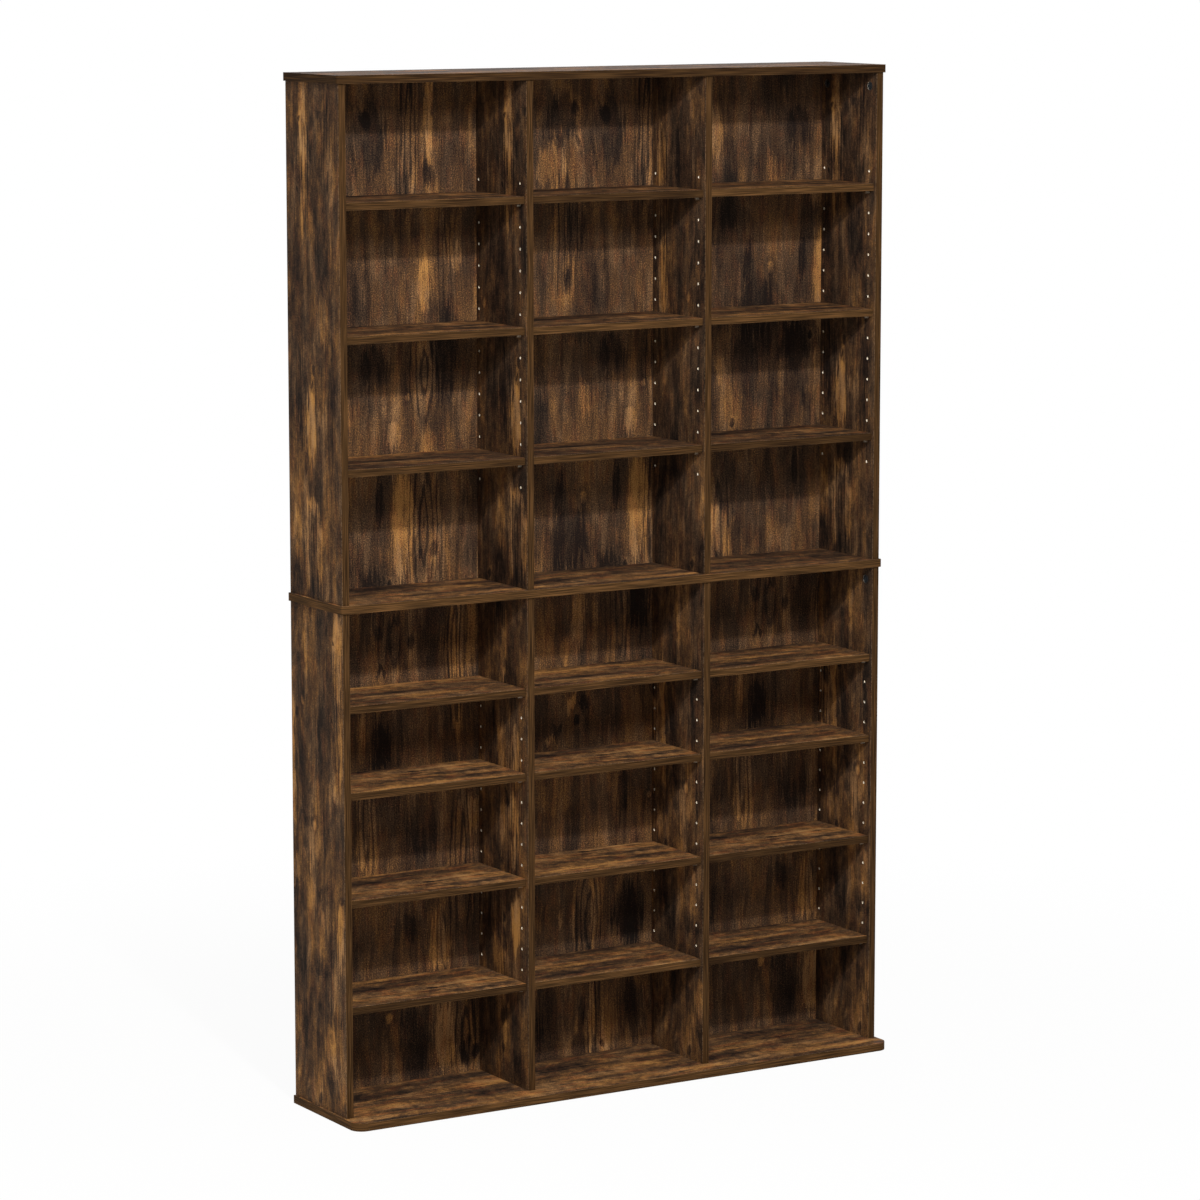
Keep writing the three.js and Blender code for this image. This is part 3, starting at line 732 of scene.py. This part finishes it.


# Top, middle and base boards.
# The same faced chipboard with the grain from side to side, banded round the edge. The base board
# reaches out in front, and its corners are rounder.

# Here the millimetres across count from the front edge, and those along from the middle of the cabinet.
# The first entry is painted light, not a stain: a lighter stripe along the front, where more light falls
# than further back.
BOARD_STAINS = (
    (26, 0, 21, 2000, 0.17), (20, -440, 10, 80, 0.2), (30, -300, 12, 90, -0.16),
    (12, -180, 9, 60, 0.24), (26, -60, 10, 90, 0.1), (14, 60, 9, 70, -0.16), (30, 180, 12, 90, 0.22),
    (16, 330, 9, 80, -0.14), (24, 460, 12, 70, 0.24), (80, -460, 20, 80, 0.18),
    (110, -340, 22, 100, 0.1), (150, -440, 20, 90, -0.16), (70, -230, 16, 60, -0.2),
    (130, -220, 20, 60, 0.2), (180, -300, 20, 90, -0.14), (80, -90, 22, 70, 0.16),
    (150, -60, 24, 80, -0.2), (100, 60, 20, 80, 0.18), (160, 120, 24, 60, 0.1),
    (70, 240, 18, 60, -0.16), (120, 290, 22, 90, 0.22), (170, 380, 22, 90, -0.2),
    (80, 450, 20, 60, 0.12),
)
BOARD_KNOTS = ((60, -400, 6, 0.35), (140, -130, 6, 0.3), (110, 190, 7, 0.35), (70, 350, 5, 0.3))
BOARD_RINGS = ((120, -340, 26, 160, 3, 0.18), (100, 200, 24, 150, 3, 0.18), (150, 430, 22, 130, 3, 0.15))
# How many millimetres along the sheet each board is cut, its band's tone, and its face's sheen and how
# light it is. Part of the base board's lightness is painted light, for the stronger light on a face that
# looks up.
BOARDS = {
    "base_board": (0, "light", 0.03, 0.37),
    "middle_board": (340, "light", 0.03, 0.29),
    "top_board": (95, "dark", 0.1, 0.27),
}
# The band of a board that lies flat: its lines lie one above another, and run round the board.
FLAT_BAND = ((0, 0, BAND_ACROSS), (BAND_ALONG, BAND_ALONG, 0))
for node, (cut, tone, sheen, level) in BOARDS.items():
    low, high = board_box(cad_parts[node].data)
    left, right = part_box(node)
    low = (left.x, low[1], low[2])
    high = (right.x, high[1], high[2])
    spoken = node.replace("_", " ")
    print_title = f"smoked oak print, {spoken}"
    board_print = oak_print(print_title, BOARD_STAINS, BOARD_KNOTS, BOARD_RINGS, level, **SHELF)
    title = f"smoked oak foil, {spoken}"
    start = (-low[1] * MM, cut)
    foil = printed_face(title, board_print, ("Y", "X"), (MM, MM), start, low[1], sheen)
    band = edge_band(f"{spoken} edge band", *FLAT_BAND, tone)
    finishes = dict.fromkeys(("left", "right", "front", "rear"), band)
    finishes.update({"top": foil, "bottom": foil, "bore": band, "boss": pin_steel})
    dress(node, finishes, low, high)
    soften(node)


# Loose shelves.
# 13 mm faced chipboard cut from one sheet of decor, banded in front only, with about 1 mm of play
# between the uprights. Each rests on four pins.

# Here the millimetres across count forwards from the first knot, and those along from the left end.
SHELF_STAINS = (
    (2, 275, 27, 86, 0.32), (33, 118, 17, 60, 0.1), (20, 168, 8, 16, -0.19), (46, 185, 10, 34, 0.2),
    (32, 305, 11, 44, -0.16), (118, 180, 22, 150, 0.3), (104, 250, 10, 26, -0.17),
    (172, 180, 26, 180, -0.17), (206, 110, 24, 90, 0.12), (-75, 170, 12, 80, -0.16),
    (-60, 262, 13, 66, -0.16), (-40, 300, 10, 40, 0.14), (-105, 100, 22, 56, 0.18),
    (-162, 180, 20, 180, -0.17), (-40, 80, 14, 60, -0.14), (75, 60, 16, 70, -0.12),
    (80, 290, 12, 60, -0.18), (240, 260, 20, 90, -0.1), (215, 30, 12, 50, -0.2),
    (-130, 280, 16, 70, 0.06),
)
SHELF_KNOTS = ((0, 188, 6, 0.42), (98, 200, 4, 0.3), (108, 95, 4, 0.3), (-12, 40, 5, 0.25))
SHELF_RINGS = ((4, 270, 30, 130, 3, 0.15), (-60, 120, 22, 150, 3, 0.15), (120, 180, 24, 170, 3, 0.15))
# Where the front edges lie in metres, and the rear edges in millimetres.
SHELF_FRONT = -0.067
SHELF_REAR = 98.0
# How light the shelves of each unit are. Part of this lightness is painted light, for the stronger light
# on faces that look up.
SHELF_LEVELS = {"upper": 0.3, "lower": 0.44}
# How many millimetres in front of each shelf's rear edge the first knot lies, and its band's tone.
SHELVES = {
    "upper_left_shelf_1": (60, "middle"),
    "upper_centre_shelf_1": (90, "dark"),
    "upper_right_shelf_1": (30, "light"),
    "upper_left_shelf_2": (40, "middle"),
    "upper_centre_shelf_2": (93, "light"),
    "upper_right_shelf_2": (28, "light"),
    "upper_left_shelf_3": (-100, "middle"),
    "upper_centre_shelf_3": (-115, "middle"),
    "upper_right_shelf_3": (80, "dark"),
    "lower_left_shelf_1": (-100, "middle"),
    "lower_centre_shelf_1": (-75, "middle"),
    "lower_right_shelf_1": (180, "light"),
    "lower_left_shelf_2": (45, "middle"),
    "lower_centre_shelf_2": (83, "middle"),
    "lower_right_shelf_2": (180, "middle"),
    "lower_left_shelf_3": (97, "middle"),
    "lower_centre_shelf_3": (20, "middle"),
    "lower_right_shelf_3": (84, "dark"),
    "lower_left_shelf_4": (107, "dark"),
    "lower_centre_shelf_4": (180, "light"),
    "lower_right_shelf_4": (170, "dark"),
}
shelf_prints = {}
for unit, level in SHELF_LEVELS.items():
    title = f"smoked oak print, {unit} shelves"
    shelf_prints[unit] = oak_print(title, SHELF_STAINS, SHELF_KNOTS, SHELF_RINGS, level, **SHELF)
shelf_bands = {tone: edge_band(f"{tone} shelf edge band", *FLAT_BAND, tone) for tone in BAND_TONES}
for node, (knot, tone) in SHELVES.items():
    low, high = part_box(node)
    start = (SHELF_REAR - knot, -low.x * MM)
    title = f"smoked oak foil, {node.replace('_', ' ')}"
    decor = shelf_prints[node.split("_")[0]]
    foil = printed_face(title, decor, ("Y", "X"), (-MM, MM), start, SHELF_FRONT)
    finishes = dict.fromkeys(("left", "right", "rear", "bore", "boss"), bare_core)
    finishes.update({"top": foil, "bottom": foil, "front": shelf_bands[tone]})
    dress(node, finishes, low, high)
    soften(node)


# Cam locks.
# Die-cast zinc drums, 15 mm across, let in flush with the side panels near the top of each unit.
cam_zinc = plated("die-cast zinc", colour="#6d747a", roughness=0.5)
for node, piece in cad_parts.items():
    if "_cam_lock_" in node:
        piece.data.materials.clear()
        piece.data.materials.append(cam_zinc)


# Screws.
# Zinc-plated countersunk chipboard screws, up through the base and middle boards into the uprights.
screw_zinc = plated("zinc-plated screw steel", colour="#a9aaa4", roughness=0.35)
for node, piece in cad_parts.items():
    if "_screw_" in node:
        piece.data.materials.clear()
        piece.data.materials.append(screw_zinc)
